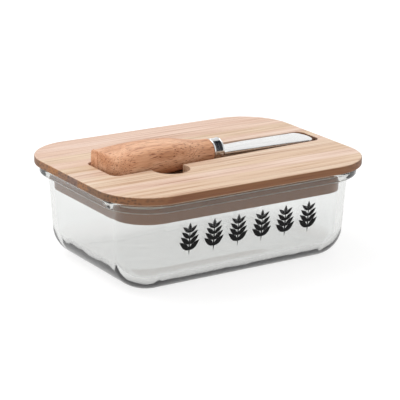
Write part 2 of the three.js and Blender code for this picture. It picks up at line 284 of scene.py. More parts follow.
def oval_loft(x, front, back, bottom, top, power, top_power=None, sides=96):
    """Oval sections along X.

    The section is a superellipse: |across|^power + |upward|^power = 1, stretched between its front
    and back edges in y and its bottom and top levels. All arguments are arrays with one value for
    each section. The upper half can have a power of its own: a higher one gives a flatter top.
    """
    angle = np.linspace(0, 2 * math.pi, sides, endpoint=False)[:, None]
    if top_power is not None:
        power = np.where(np.sin(angle) > 0, top_power, power)
    across = np.sign(np.cos(angle)) * np.abs(np.cos(angle)) ** (2 / power)
    upward = np.sign(np.sin(angle)) * np.abs(np.sin(angle)) ** (2 / power)
    y = (front + back) / 2 + across * (back - front) / 2
    z = (bottom + top) / 2 + upward * (top - bottom) / 2
    return np.stack(np.broadcast_arrays(x, y, z), axis=-1)


def pocket(outline, outward, spine, floor):
    """The space that a cutter takes from the lid's top face, as a closed surface.

    Each column stands on one outline point. Its rows run from the spine along the floor, round the
    cutter's rounding, up the wall, and out over the sanded rim: outline plus outward times an
    offset, where the offset is an arc's at the floor and at the rim. The last rows close it above
    the lid.
    """
    low = arc((-CUTTER_ROUND, CUTTER_ROUND), CUTTER_ROUND, -90, 0, 4)
    rim = arc((RIM_ROUND, -RIM_ROUND), RIM_ROUND, 180, 100, 5)
    offset = np.concatenate([low[:, 0], rim[:, 0], rim[-1:, 0]])
    level = np.column_stack([
        floor[:, None] + low[:, 1],
        np.tile(lid_top + rim[:, 1], (len(floor), 1)),
        np.full(len(floor), lid_top + CUTTER_RISE),
    ])
    plan = outline[:, None] + outward[:, None] * offset[:, None]
    walls = np.concatenate([plan, level[..., None]], axis=-1)
    start = np.column_stack([spine, floor])[:, None]
    end = np.column_stack([spine, level[:, -1]])[:, None]
    return np.concatenate([start, walls, end], axis=1)


# ---- materials -------------------------------------------------------------------------------


def linear(colour):
    """An sRGB hex colour as linear RGBA.

    A channel c becomes c / 12.92 up to 0.04045, and ((c + 0.055) / 1.055) ^ 2.4 above.
    """
    channels = np.array([int(colour[i : i + 2], 16) for i in (1, 3, 5)]) / 255
    bright = ((channels + 0.055) / 1.055) ** 2.4
    return (*np.where(channels <= 0.04045, channels / 12.92, bright).tolist(), 1.0)


def add(tree, kind, inputs=None, stops=None, **settings):
    """Adds a shader node. Inputs are values, or sockets to link; stops are a colour ramp's."""
    made = tree.nodes.new("ShaderNode" + kind)
    for name, value in settings.items():
        setattr(made, name, value)
    for key, value in (inputs or {}).items():
        if isinstance(value, bpy.types.NodeSocket):
            tree.links.new(value, made.inputs[key])
        else:
            made.inputs[key].default_value = value
    if stops:
        ramp = made.color_ramp.elements
        while len(ramp) < len(stops):
            ramp.new(1)
        for element, (position, colour) in zip(ramp, stops):
            element.position = position
            element.color = linear(colour)
    return made


def new_material(name):
    """An empty material, its node tree and its Principled shader."""
    material = bpy.data.materials.new(name)
    material.use_nodes = True
    tree = material.node_tree
    return material, tree, tree.nodes["Principled BSDF"]


def mixed(tree, share, first, second, blend="MIX"):
    """The first colour with a share of the second in it: a Mix node's sockets 0, 6, 7 and 2."""
    made = add(tree, "Mix", {0: share, 6: first, 7: second}, data_type="RGBA", blend_type=blend)
    return made.outputs[2]


def emboss(tree, shader, noise, strength, distance):
    """Lets a noise raise the surface a little, by up to a distance in metres."""
    relief = add(tree, "Bump", {"Height": noise.outputs["Fac"], "Strength": strength,
                                "Distance": distance})
    tree.links.new(relief.outputs[0], shader.inputs["Normal"])


def bamboo_material():
    """Laminated bamboo, planed and oiled.

    Pale strips that each differ a little, fine lengthwise fibres, and darker, dotted end grain. The
    edges and the plug also carry painted shade: browner where faces turn away from the top light,
    and a deeper brown below the plate.
    """
    material, tree, shader = new_material("laminated_bamboo_oiled")
    place_in_lid = add(tree, "TexCoord").outputs["Object"]
    split = add(tree, "SeparateXYZ", {0: place_in_lid})

    # Strips: the number of the stave, counted from the front glue line
    pitch = (glue_lines[-1] - glue_lines[0]) / (len(glue_lines) - 1) * MM
    counted = add(tree, "Math", {0: split.outputs["Y"], 1: 1 / pitch,
                                 2: -glue_lines[0] * MM / pitch}, operation="MULTIPLY_ADD")
    number = add(tree, "Math", {0: counted.outputs[0]}, operation="FLOOR")
    strip = add(tree, "Clamp", {"Value": number.outputs[0], "Min": -1.0,
                                "Max": len(glue_lines) - 1.0})
    tone = add(tree, "TexWhiteNoise", {"W": strip.outputs[0]}, noise_dimensions="1D")
    strip_tone = add(tree, "ValToRGB", {0: tone.outputs["Value"]}, stops=[
        (0.0, "#d8c1a6"), (0.35, "#dfcab6"), (0.7, "#e1cabd"), (1.0, "#dac7ac")])

    # Each strip's fibres start elsewhere along X
    shift = add(tree, "Math", {0: strip.outputs[0], 1: 0.37}, operation="MULTIPLY")
    along = add(tree, "Math", {0: split.outputs["X"], 1: shift.outputs[0]}, operation="ADD")
    moved = add(tree, "CombineXYZ", {0: along.outputs[0], 1: split.outputs["Y"],
                                     2: split.outputs["Z"]})

    # Streaks 4 mm wide, fibres 1 mm wide, and dark bundles 1.4 mm apart; real bundles are finer
    streak_place = add(tree, "Mapping", {0: moved.outputs[0], "Scale": (9, 260, 260)})
    streaks = add(tree, "TexNoise", {0: streak_place.outputs[0], "Scale": 1.0, "Detail": 3.0})
    streaky = add(tree, "ValToRGB", {0: streaks.outputs["Fac"]}, stops=[
        (0.32, "#dcbda2"), (0.5, "#f6ece3"), (0.68, "#ffffff")])
    with_streaks = mixed(tree, 0.5, strip_tone.outputs[0], streaky.outputs[0], "MULTIPLY")
    fibre_place = add(tree, "Mapping", {0: moved.outputs[0], "Scale": (22, 1000, 1000)})
    fibres = add(tree, "TexNoise", {0: fibre_place.outputs[0], "Scale": 1.0, "Detail": 4.0,
                                    "Roughness": 0.65})
    fibrous = add(tree, "ValToRGB", {0: fibres.outputs["Fac"]}, stops=[
        (0.33, "#c79a77"), (0.46, "#f3e6dc"), (0.6, "#ffffff")])
    with_fibres = mixed(tree, 0.55, with_streaks, fibrous.outputs[0], "MULTIPLY")
    bundle_place = add(tree, "Mapping", {0: moved.outputs[0], "Scale": (16, 700, 700)})
    bundles = add(tree, "TexVoronoi", {0: bundle_place.outputs[0], "Scale": 1.0})

    # Thin brown lines along the fibres, 0.8 mm apart where they crowd; real ones are finer
    line_place = add(tree, "Mapping", {0: moved.outputs[0], "Scale": (11, 1300, 1300)})
    line_noise = add(tree, "TexNoise", {0: line_place.outputs[0], "Scale": 1.0, "Detail": 1.5})
    lines = add(tree, "ValToRGB", {0: line_noise.outputs["Fac"]}, stops=[
        (0.35, "#b5825c"), (0.41, "#ffffff")])
    lined = mixed(tree, 0.6, with_fibres, lines.outputs[0], "MULTIPLY")

    # Edges: end grain with dots across the fibres, side grain along them, both browner. The brown
    # is
    #     # partly the grain's own colour and partly painted shade, darker on every face that turns
    #     away
    #     # from the top light. The walls of the slot and the notch take only a quarter of that
    #     brown.
    facing = add(tree, "NewGeometry").outputs["Normal"]
    facing_split = add(tree, "SeparateXYZ", {0: facing})
    endwise = add(tree, "Math", {0: facing_split.outputs["X"]}, operation="ABSOLUTE")
    upright = add(tree, "Math", {0: facing_split.outputs["Z"]}, operation="ABSOLUTE")
    # Painted shade: 0 on faces that look up, 1 on upright faces, which the top light reaches less
    edge = add(tree, "MapRange", {"Value": upright.outputs[0], "From Min": 0.9, "From Max": 0.45})
    shares = (1 / (POCKETS_WITHIN[0] * MM), 1 / (POCKETS_WITHIN[1] * MM), 0)
    from_middle = add(tree, "VectorMath", {0: place_in_lid, 1: shares}, operation="MULTIPLY")
    reach = add(tree, "VectorMath", {0: from_middle.outputs[0]}, operation="ABSOLUTE")
    reach_split = add(tree, "SeparateXYZ", {0: reach.outputs[0]})
    farthest = add(tree, "Math", {0: reach_split.outputs["X"], 1: reach_split.outputs["Y"]},
                   operation="MAXIMUM")
    outside = add(tree, "MapRange", {"Value": farthest.outputs[0], "From Min": 0.95,
                                     "From Max": 1.05, "To Min": 0.25, "To Max": 1.0})
    grain_and_shade_share = add(tree, "Math", {0: edge.outputs[0], 1: outside.outputs[0]},
                     operation="MULTIPLY")
    edge_tone = add(tree, "TexWhiteNoise", {"W": strip.outputs[0], "Vector": (0, 0, 0)},
                    noise_dimensions="4D")
    edge_brown_and_shade = add(tree, "ValToRGB", {0: edge_tone.outputs["Value"]}, stops=[
        (0.0, "#5f4630"), (0.3, "#8d5a30"), (0.55, "#6b5347"), (0.8, "#93602f"), (1.0, "#74543a")])
    dots = add(tree, "ValToRGB", {0: bundles.outputs["Distance"]}, stops=[
        (0.15, "#4a3022"), (0.5, "#ffffff")])
    dotted = mixed(tree, endwise.outputs[0], fibrous.outputs[0], dots.outputs[0])
    edge_grain_and_shade = mixed(tree, 0.85, edge_brown_and_shade.outputs[0], dotted, "MULTIPLY")
    colour = mixed(tree, grain_and_shade_share.outputs[0], lined, edge_grain_and_shade)
    # Painted shade: below the plate the plug turns a deeper brown, for the shade under the plate as
    #     # well as its side grain
    low = add(tree, "MapRange", {"Value": split.outputs["Z"],
                                 "From Min": (lid_top - PLUG_SHADE_FULL) * MM,
                                 "From Max": (lid_top - PLUG_SHADE_FROM) * MM,
                                 "To Min": 0.8, "To Max": 0.0})
    shaded = mixed(tree, low.outputs[0], colour, linear("#97643a"))
    tree.links.new(shaded, shader.inputs["Base Color"])

    gloss = add(tree, "MapRange", {"Value": fibres.outputs["Fac"], "To Min": 0.62, "To Max": 0.45})
    tree.links.new(gloss.outputs[0], shader.inputs["Roughness"])
    emboss(tree, shader, fibres, 0.25, 0.0002)
    shader.inputs["IOR"].default_value = 1.47
    return material


def beech_material():
    """Steamed beech, turned, sanded and oiled: pinkish brown with short dark ray flecks."""
    material, tree, shader = new_material("steamed_beech_oiled")
    place_in_handle = add(tree, "TexCoord").outputs["Object"]
    warp = add(tree, "TexNoise", {0: place_in_handle, "Scale": 45.0, "Detail": 2.0})
    bent = add(tree, "VectorMath", {0: warp.outputs["Color"], "Scale": 0.004}, operation="SCALE")
    grain_place = add(tree, "VectorMath", {0: place_in_handle, 1: bent.outputs[0]}, operation="ADD")

    ring_place = add(tree, "Mapping", {0: grain_place.outputs[0], "Rotation": (0.4, 0.05, 0.06),
                                       "Scale": (14, 190, 260)})
    rings = add(tree, "TexNoise", {0: ring_place.outputs[0], "Scale": 1.0, "Detail": 4.0})
    base = add(tree, "ValToRGB", {0: rings.outputs["Fac"]}, stops=[
        (0.3, "#c8916a"), (0.5, "#d9a682"), (0.7, "#e6b995")])

    # Flecks 3 mm long and 0.5 mm wide; real ones are half as wide
    fleck_place = add(tree, "Mapping", {0: grain_place.outputs[0], "Rotation": (0, 0.12, 0.1),
                                        "Scale": (115, 1900, 1900)})
    fleck_noise = add(tree, "TexNoise", {0: fleck_place.outputs[0], "Scale": 1.0, "Detail": 2.0})
    flecks = add(tree, "ValToRGB", {0: fleck_noise.outputs["Fac"]}, stops=[
        (0.34, "#93603f"), (0.43, "#ffffff")])
    flecked = mixed(tree, 0.85, base.outputs[0], flecks.outputs[0], "MULTIPLY")
    pore_place = add(tree, "Mapping", {0: grain_place.outputs[0], "Scale": (90, 1700, 1700)})
    pores = add(tree, "TexNoise", {0: pore_place.outputs[0], "Scale": 1.0, "Detail": 3.0})
    fine = add(tree, "ValToRGB", {0: pores.outputs["Fac"]}, stops=[
        (0.3, "#cf9f7c"), (0.6, "#ffffff")])
    colour = mixed(tree, 0.5, flecked, fine.outputs[0], "MULTIPLY")
    tree.links.new(colour, shader.inputs["Base Color"])
    gloss = add(tree, "MapRange", {"Value": fleck_noise.outputs["Fac"], "To Min": 0.6,
                                   "To Max": 0.42})
    tree.links.new(gloss.outputs[0], shader.inputs["Roughness"])
    emboss(tree, shader, fleck_noise, 0.3, 0.0002)
    shader.inputs["IOR"].default_value = 1.47
    return material


def glass_material():
    """Pressed soda-lime glass, fire-polished: clear, faintly wavy, and greyer where it is deep."""
    material, tree, shader = new_material("pressed_soda_lime_glass")
    place_in_dish = add(tree, "TexCoord").outputs["Object"]
    waves = add(tree, "TexNoise", {0: place_in_dish, "Scale": 55.0, "Detail": 1.5})
    emboss(tree, shader, waves, 0.25, 0.0006)
    haze = add(tree, "TexNoise", {0: place_in_dish, "Scale": 130.0, "Detail": 3.0})
    gloss = add(tree, "MapRange", {"Value": haze.outputs["Fac"], "From Min": 0.35, "From Max": 0.75,
                                   "To Min": 0.0, "To Max": 0.05})
    tree.links.new(gloss.outputs[0], shader.inputs["Roughness"])
    depth_tint = add(tree, "VolumeAbsorption", {"Color": linear("#e1e1df"), "Density": 105.0})
    tree.links.new(depth_tint.outputs[0], tree.nodes["Material Output"].inputs["Volume"])
    shader.inputs["Base Color"].default_value = linear("#fcfdfd")
    shader.inputs["Transmission Weight"].default_value = 1.0
    shader.inputs["IOR"].default_value = 1.52
    return material


def silicone_material():
    """Food-grade silicone, moulded: milky, soft-looking, with a satin skin."""
    material, tree, shader = new_material("moulded_silicone_milky")
    place_in_ring = add(tree, "TexCoord").outputs["Object"]
    cloud = add(tree, "TexNoise", {0: place_in_ring, "Scale": 160.0, "Detail": 2.0})
    tint = add(tree, "ValToRGB", {0: cloud.outputs["Fac"]}, stops=[
        (0.3, "#ebe0d2"), (0.7, "#f3ece2")])
    tree.links.new(tint.outputs[0], shader.inputs["Base Color"])
    skin = add(tree, "TexNoise", {0: place_in_ring, "Scale": 1400.0, "Detail": 2.0})
    gloss = add(tree, "MapRange", {"Value": skin.outputs["Fac"], "To Min": 0.38, "To Max": 0.55})
    tree.links.new(gloss.outputs[0], shader.inputs["Roughness"])
    emboss(tree, shader, skin, 0.15, 0.0001)
    shader.inputs["IOR"].default_value = 1.41
    shader.inputs["Subsurface Weight"].default_value = 0.3
    shader.inputs["Subsurface Radius"].default_value = (0.003, 0.0025, 0.002)
    return material


def steel_material(name, tint, rough, brushed):
    """Stainless steel, polished: neutral, mirror-like, with fine polishing marks one way."""
    material, tree, shader = new_material(name)
    place_on_knife = add(tree, "TexCoord").outputs["Object"]
    marks_place = add(tree, "Mapping", {0: place_on_knife, "Scale": brushed})
    marks = add(tree, "TexNoise", {0: marks_place.outputs[0], "Scale": 1.0, "Detail": 3.0})
    smudge = add(tree, "TexNoise", {0: place_on_knife, "Scale": 90.0, "Detail": 2.0})
    both = add(tree, "Math", {0: marks.outputs["Fac"], 1: smudge.outputs["Fac"]},
               operation="MULTIPLY")
    gloss = add(tree, "MapRange", {"Value": both.outputs[0], "From Min": 0.1, "From Max": 0.4,
                                   "To Min": rough[0], "To Max": rough[1]})
    tree.links.new(gloss.outputs[0], shader.inputs["Roughness"])
    shade = add(tree, "ValToRGB", {0: marks.outputs["Fac"]}, stops=[(0.3, tint[0]), (0.7, tint[1])])
    tree.links.new(shade.outputs[0], shader.inputs["Base Color"])
    emboss(tree, shader, marks, 0.08, 0.0001)
    shader.inputs["Metallic"].default_value = 1.0
    return material


def enamel_material():
    """Black ceramic enamel, screen-printed and fired on: dense, satin, with faint orange peel."""
    material, tree, shader = new_material("fired_black_enamel")
    place_on_print = add(tree, "TexCoord").outputs["Object"]
    peel = add(tree, "TexNoise", {0: place_on_print, "Scale": 1800.0, "Detail": 2.0})
    tint = add(tree, "ValToRGB", {0: peel.outputs["Fac"]}, stops=[
        (0.3, "#070707"), (0.8, "#100f0f")])
    tree.links.new(tint.outputs[0], shader.inputs["Base Color"])
    gloss = add(tree, "MapRange", {"Value": peel.outputs["Fac"], "To Min": 0.35, "To Max": 0.55})
    tree.links.new(gloss.outputs[0], shader.inputs["Roughness"])
    emboss(tree, shader, peel, 0.1, 0.0001)
    shader.inputs["Specular IOR Level"].default_value = 0.12
    return material


bamboo = bamboo_material()
beech = beech_material()
glass = glass_material()
silicone = silicone_material()
blade_steel = steel_material("stainless_steel_brushed", ("#d9d9d8", "#efefee"), (0.16, 0.34),
                             (40, 1500, 1500))
ferrule_steel = steel_material("stainless_steel_polished", ("#c9cbcc", "#e2e3e4"), (0.06, 0.2),
                               (1500, 60, 60))
enamel = enamel_material()


# ---- glass dish ------------------------------------------------------------------------------

rim_radius = dish_half[0] - core[0]
wall_top_radius = rim_radius - RIM_REACH
wall_top = dish_height - RIM_HEIGHT
mouth_radius = wall_top_radius - WALL_THICKNESS


def draft_at(level):
    """How far the wall leans in at a level: nothing at its top, and WALL_DRAFT at the table."""
    return WALL_DRAFT * (wall_top - level) / wall_top


def dish_profile():
    """Radius and level: the underside, up the outside to the rim, and down inside to the floor."""
    heel_start = wall_top_radius - draft_at(HEEL_RADIUS) - HEEL_RADIUS
    cove_level = BASE_THICKNESS + FLOOR_RADIUS
    cove_start = mouth_radius - draft_at(cove_level) - FLOOR_RADIUS
    ledge = (wall_top_radius + LEDGE_FILLET, wall_top - LEDGE_FILLET)
    low_edge = (rim_radius - RIM_EASE, wall_top + RIM_EASE)
    high_edge = (rim_radius - RIM_EASE, dish_height - RIM_EASE)
    mouth_edge = (mouth_radius - draft_at(dish_height) + MOUTH_EASE, dish_height - MOUTH_EASE)
    return [
        arc((heel_start, HEEL_RADIUS), HEEL_RADIUS, -90, 0, 18),
        arc(ledge, LEDGE_FILLET, 180, 90, 5),
        arc(low_edge, RIM_EASE, -90, 0, 7),
        arc(high_edge, RIM_EASE, 0, 90, 7),
        arc(mouth_edge, MOUTH_EASE, 90, 180, 6),
        arc((cove_start, cove_level), FLOOR_RADIUS, 0, -90, 16),
    ]


dish_mesh = surface("glass_dish_clear", carry_round(dish_profile()), "poles")
dish = place("glass_dish_clear", dish_mesh, 60)
fit(dish, "dish", "glass", glass, "glass_dish")


# ---- lid -------------------------------------------------------------------------------------


def board_profile():
    """Radius and level: the plug's underside, up past the groove, and round the plate's edge."""
    plate_foot = lid_top - PLATE_THICKNESS
    low_edge = (LID_CORNER - PLATE_EASE, plate_foot + PLATE_EASE)
    high_edge = (LID_CORNER - PLATE_EASE, lid_top - PLATE_EASE)
    return [
        arc((PLUG_RADIUS - PLUG_EASE, plug_foot + PLUG_EASE), PLUG_EASE, -90, 0, 3),
        [(PLUG_RADIUS, GROOVE_LOW), (GROOVE_RADIUS, GROOVE_LOW)],
        [(GROOVE_RADIUS, GROOVE_HIGH), (PLUG_RADIUS, GROOVE_HIGH), (PLUG_RADIUS, plate_foot)],
        arc(low_edge, PLATE_EASE, -90, 0, 4),
        arc(high_edge, PLATE_EASE, 0, 90, 4),
    ]


def slot_pocket():
    """The knife slot: a long tapered outline with round corners, deeper under the handle."""
    butt, tip = SLOT_BUTT_X + SLOT_CORNER, SLOT_TIP_X - SLOT_CORNER
    quarter = np.radians(np.linspace(0, 90, 9))
    step = 0.01
    straight = np.array([SLOT_STEP_X - step, SLOT_STEP_X + step])
    halves = []
    for side, edge in ((1, SLOT_BACK), (-1, SLOT_FRONT)):
        at_butt = np.column_stack([-np.cos(quarter), side * np.sin(quarter)])
        at_tip = np.column_stack([np.sin(quarter), side * np.cos(quarter)])
        butt_arc = np.array([butt, edge[0] - side * SLOT_CORNER]) + SLOT_CORNER * at_butt
        tip_arc = np.array([tip, edge[1] - side * SLOT_CORNER]) + SLOT_CORNER * at_tip
        line = np.column_stack([straight, np.interp(straight, [butt, tip], edge)])
        outward = np.vstack([at_butt, [[0, side], [0, side]], at_tip])
        halves.append((np.vstack([butt_arc, line, tip_arc]), outward))
    (back, back_out), (front, front_out) = halves
    outline = np.vstack([back, front[::-1]])
    outward = np.vstack([back_out, front_out[::-1]])
    middle = (np.array(SLOT_FRONT) + np.array(SLOT_BACK)) / 2
    spine_x = np.clip(outline[:, 0], butt, tip)
    spine = np.column_stack([spine_x, np.interp(spine_x, [butt, tip], middle)])
    deep = outline[:, 0] < SLOT_STEP_X
    floor = lid_top - np.where(deep, HANDLE_SLOT_DEPTH, BLADE_SLOT_DEPTH)
    return pocket(outline, outward, spine, floor)


def notch_pocket():
    """The finger notch: a round pocket that breaks into the slot's front edge."""
    angle = np.linspace(0, 2 * math.pi, 72, endpoint=False)
    outward = np.column_stack([np.cos(angle), np.sin(angle)])
    centre = np.array(NOTCH_CENTRE)
    spine = np.tile(centre, (len(angle), 1))
    floor = np.full(len(angle), lid_top - NOTCH_DEPTH)
    return pocket(centre + NOTCH_RADIUS * outward, outward, spine, floor)


def cutter(name, points):
    """A pocket's surface as an object, with the points that meet on its spine merged."""
    shape = bmesh.new()
    shape.from_mesh(surface(name, points, "poles"))
    bmesh.ops.remove_doubles(shape, verts=shape.verts, dist=1e-7)
    bmesh.ops.recalc_face_normals(shape, faces=shape.faces)
    mesh = bpy.data.meshes.new(name)
    shape.to_mesh(mesh)
    shape.free()
    tool = bpy.data.objects.new(name, mesh)
    bpy.context.scene.collection.objects.link(tool)
    return tool


def mill(name, mesh, tools):
    """The mesh with the tools' shapes taken from it."""
    blank = bpy.data.objects.new(name, mesh)
    bpy.context.scene.collection.objects.link(blank)
    for tool in tools:
        cut = blank.modifiers.new(tool.name, "BOOLEAN")
        cut.operation = "DIFFERENCE"
        cut.solver = "EXACT"
        cut.object = tool
    bpy.context.view_layer.update()
    evaluated = blank.evaluated_get(bpy.context.evaluated_depsgraph_get())
    milled = bpy.data.meshes.new_from_object(evaluated)
    for used in (blank, *tools):
        bpy.data.objects.remove(used)
    return milled


def sawn(mesh, name, low, high):
    """The part of a mesh between the planes y = low and y = high, with both cuts closed."""
    part = bmesh.new()
    part.from_mesh(mesh)
    for y, normal in ((low, -1), (high, 1)):
        if y is None:
            continue
        everything = part.verts[:] + part.edges[:] + part.faces[:]
        bmesh.ops.bisect_plane(part, geom=everything, dist=1e-7, plane_co=(0, y * MM, 0),
                               plane_no=(0, normal, 0), clear_outer=True)
        bmesh.ops.holes_fill(part, edges=[e for e in part.edges if e.is_boundary], sides=0)
    bmesh.ops.recalc_face_normals(part, faces=part.faces)
    made = bpy.data.meshes.new(name)
    part.to_mesh(made)
    part.free()
    return made


board = surface("board", carry_round(board_profile()))
board = mill("board", board, [cutter("slot", slot_pocket()), cutter("notch", notch_pocket())])
cuts = [None, *glue_lines.tolist(), None]
for node, low, high in zip(STAVES, cuts, cuts[1:]):
    stave = place(node + "_grained", sawn(board, node + "_grained", low, high))
    weighted = stave.modifiers.new("flat faces stay flat", "WEIGHTED_NORMAL")
    weighted.keep_sharp = True
    fit(stave, "lid", "bamboo", bamboo, node)
bpy.data.meshes.remove(board)


# Seal ring: a band in the groove with two soft lips that reach for the glass
SEAL_SLACK = 0.2
LIP_THICKNESS = 0.9
LIP_RISE = 0.4


def seal_profile():
    """Radius and level round the ring's section, with the lips' tips rounded."""
    low, high = GROOVE_LOW + SEAL_SLACK, GROOVE_HIGH - SEAL_SLACK
    inner, waist = GROOVE_RADIUS + SEAL_SLACK, PLUG_RADIUS - SEAL_SLACK
    lip = node_box("seal_ring")[1][0] - core[0]
    round_off = LIP_THICKNESS / 4
    low_tip = (lip - round_off, low + LIP_RISE + round_off)
    high_tip = (lip - round_off, high - LIP_RISE - round_off)
    return [
        [(inner, low), (waist, low)],
        arc(low_tip, round_off, -60, 60, 4),
        [(waist, low + 2 * LIP_THICKNESS), (waist, high - 2 * LIP_THICKNESS)],
        arc(high_tip, round_off, -60, 60, 4),
        [(waist, high), (inner, high)],
    ]


seal = place("seal_ring_soft", surface("seal_ring_soft", carry_round(seal_profile()), "ring"), 50)
fit(seal, "lid", "silicone", silicone, "seal_ring")


# ---- butter knife ----------------------------------------------------------------------------

butt_x = handle_low[0]
ferrule_x = butt_x + HANDLE_LENGTH
nose_x = ferrule_high[0]
ferrule_level = lid_top + FERRULE_AXIS_ABOVE
neck_front = FERRULE_HALF_WIDTH - KNIFE_AXIS_Y
neck_back = FERRULE_HALF_WIDTH + KNIFE_AXIS_Y
neck_top = FERRULE_HALF_HEIGHT + FERRULE_AXIS_ABOVE
neck_foot = FERRULE_HALF_HEIGHT - FERRULE_AXIS_ABOVE


def along_handle(distance, sizes, neck, neck_out):
    """A measure over the distance from the butt, a smooth curve: its sizes, then the neck's."""
    places = [place for place, _ in sizes] + [HANDLE_LENGTH - before for before in NECK_BEFORE]
    values = [size for _, size in sizes] + [neck + out for out in neck_out]
    return hermite(distance, places, values)


def shrunk(section, share, x):
    """A section drawn in to a share of its size about its middle, and moved to x."""
    middle = section.mean(axis=0)
    made = middle + (section - middle) * share
    made[..., 0] = x
    return made


def handle_points():
    """The handle's ovals from the butt's flat end to the ferrule, and the tenon inside it.

    The sections crowd towards the butt: their distances s go as a share to the power 1.9. In front
    the corner of the butt takes BUTT_CORNER_WIDTH (1 - sqrt(1 - (1 - s / BUTT_CORNER_LENGTH)^2)).
    """
    s = HANDLE_LENGTH * np.linspace(0, 1, 90) ** 1.9
    corner = 1 - np.clip(1 - s / BUTT_CORNER_LENGTH, 0, 1) ** 2
    front = along_handle(s, HANDLE_FRONT, neck_front, NECK_FRONT)
    front -= BUTT_CORNER_WIDTH * (1 - np.sqrt(corner))
    back = along_handle(s, HANDLE_BACK, neck_back, NECK_BACK)
    above = along_handle(s, HANDLE_ABOVE, neck_top, NECK_ABOVE)
    below = along_handle(s, HANDLE_BELOW, neck_foot, NECK_BELOW)
    power = np.interp(s, POWER_PLACES, LOWER_POWERS)
    top_power = np.interp(s, POWER_PLACES, UPPER_POWERS)
    wood = oval_loft(butt_x + s, -front, back, lid_top - below, lid_top + above, power, top_power)
    tenon_x = np.array([ferrule_x, nose_x - FERRULE_NOSE - FIT_GAP])
    tenon = ferrule_ovals(tenon_x, np.full(2, FERRULE_WALL + FIT_GAP))
    butt = wood[:, :1]
    end_face = shrunk(butt, BUTT_END_SHARE, butt_x)
    groove = shrunk(butt, BUTT_GROOVE_SHARE, butt_x + BUTT_GROOVE_X)
    after_groove = shrunk(butt, 1, butt_x + BUTT_WOOD_X)
    beyond = int(np.argmax(s > BUTT_WOOD_X + 0.2))
    return np.concatenate([end_face, groove, after_groove, wood[:, beyond:], tenon], axis=1)


def ferrule_ovals(x, inset):
    """The ferrule's ovals, drawn in by inset all round."""
    front = KNIFE_AXIS_Y - FERRULE_HALF_WIDTH + inset
    back = KNIFE_AXIS_Y + FERRULE_HALF_WIDTH - inset
    bottom = ferrule_level - FERRULE_HALF_HEIGHT + inset
    top = ferrule_level + FERRULE_HALF_HEIGHT - inset
    return oval_loft(x, front, back, bottom, top, FERRULE_POWER)


def tang_hole(start, end, power, sides=96):
    """The ovals of the hole for the tang, from start to end along X, FIT_GAP clear of the tang."""
    level = (blade_high[2] + blade_low[2]) / 2
    half_height = (blade_high[2] - blade_low[2]) / 2 + FIT_GAP
    half_width = TANG_HALF_WIDTH + FIT_GAP
    return oval_loft(np.array([start, end]), KNIFE_AXIS_Y - half_width, KNIFE_AXIS_Y + half_width,
                     level - half_height, level + half_height, power, sides=sides)


def ferrule_points():
    """The cap from its open end over the outside to the nose, and back through its bore.

    Two low beads stand on the outside. Each is (1 + cos(pi d / BEAD_HALF_WIDTH)) / 2 high, as a
    share of BEAD_HEIGHT, at the distance d from its middle.
    """
    start, end = ferrule_low[0], ferrule_high[0]
    x = np.linspace(start, end, 41)
    near = np.minimum(x - start, end - x)
    rounding = FERRULE_EASE * (1 - np.sqrt(1 - np.clip(1 - near / FERRULE_EASE, 0, 1) ** 2))
    aside = np.minimum(np.abs(near - BEAD_PLACE) / BEAD_HALF_WIDTH, 1)
    bead = BEAD_HEIGHT * (1 + np.cos(math.pi * aside)) / 2
    outside = ferrule_ovals(x, rounding + BEAD_HEIGHT - bead)
    hole = tang_hole(end, end - FERRULE_NOSE, FERRULE_HOLE_POWER)
    bore_x = np.array([end - FERRULE_NOSE, start])
    bore = ferrule_ovals(bore_x, np.full(2, FERRULE_WALL))
    return np.concatenate([outside, hole, bore], axis=1)


def bezier(start, first, second, end, steps=18):
    """Points of a cubic Bezier: the four corners weighted by the Bernstein polynomials."""
    t = np.linspace(0, 1, steps + 1)[:, None]
    corners = np.array([start, first, second, end], float)
    weights = np.hstack([(1 - t) ** 3, 3 * t * (1 - t) ** 2, 3 * t**2 * (1 - t), t**3])
    return weights @ corners


def blade_outline():
    """The blade from above: straight back, round tip, a front that widens to it, and the tang."""
    root = nose_x + FIT_GAP
    tip = blade_high[0]
    neck = root + BLADE_NECK_LENGTH
    belly_x = tip - BELLY_FROM_TIP
    waist = -(ROOT_FRONT + BLADE_BELLY) / 2
    ease = BLADE_BELLY / 2  # how far each curve's handles reach
    tang_front, tang_back = KNIFE_AXIS_Y - TANG_HALF_WIDTH, KNIFE_AXIS_Y + TANG_HALF_WIDTH
    tang_end = blade_low[0]
    belly, back = (belly_x, -BLADE_BELLY), (tip - ease, BLADE_BACK)
    return np.vstack([
        [(tang_end, tang_front), (root, tang_front)],
        bezier((root, -ROOT_FRONT), (neck, waist), (belly_x - 3 * ease, waist), belly),
        bezier(belly, (belly_x + ease, -BLADE_BELLY), (tip, -ease), (tip, 0))[1:],
        bezier((tip, 0), (tip, ease), (tip - ease / 2, BLADE_BACK), back)[1:],
        bezier((neck, BLADE_BACK), (neck - ease, BLADE_BACK), (root + ease, ROOT_BACK),
               (root, ROOT_BACK)),
        [(root, tang_back), (tang_end, tang_back)],
    ])


def blade_points():
    """The blade's outline carried over its thickness, with both edges rounded.

    Each row moves the outline in along its normals by an arc's offset, and up by the arc's height.
    """
    outline = blade_outline()
    before = outline - np.roll(outline, 1, axis=0)
    after = np.roll(outline, -1, axis=0) - outline
    normals = [np.column_stack([edge[:, 1], -edge[:, 0]]) / np.linalg.norm(edge, axis=1)[:, None]
               for edge in (before, after)]
    mitre = normals[0] + normals[1]
    mitre /= np.maximum((mitre * normals[0]).sum(axis=1), 0.5)[:, None]
    low, high = blade_low[2] + BLADE_EASE, blade_high[2] - BLADE_EASE
    rows = np.vstack([
        arc((-BLADE_EASE, low), BLADE_EASE, -90, 0, 4),
        arc((-BLADE_EASE, high), BLADE_EASE, 0, 90, 4),
    ])
    plan = outline[:, None] + mitre[:, None] * rows[:, :1]
    levels = np.broadcast_to(rows[:, 1:], plan.shape[:2] + (1,))
    return np.concatenate([plan, levels], axis=-1)


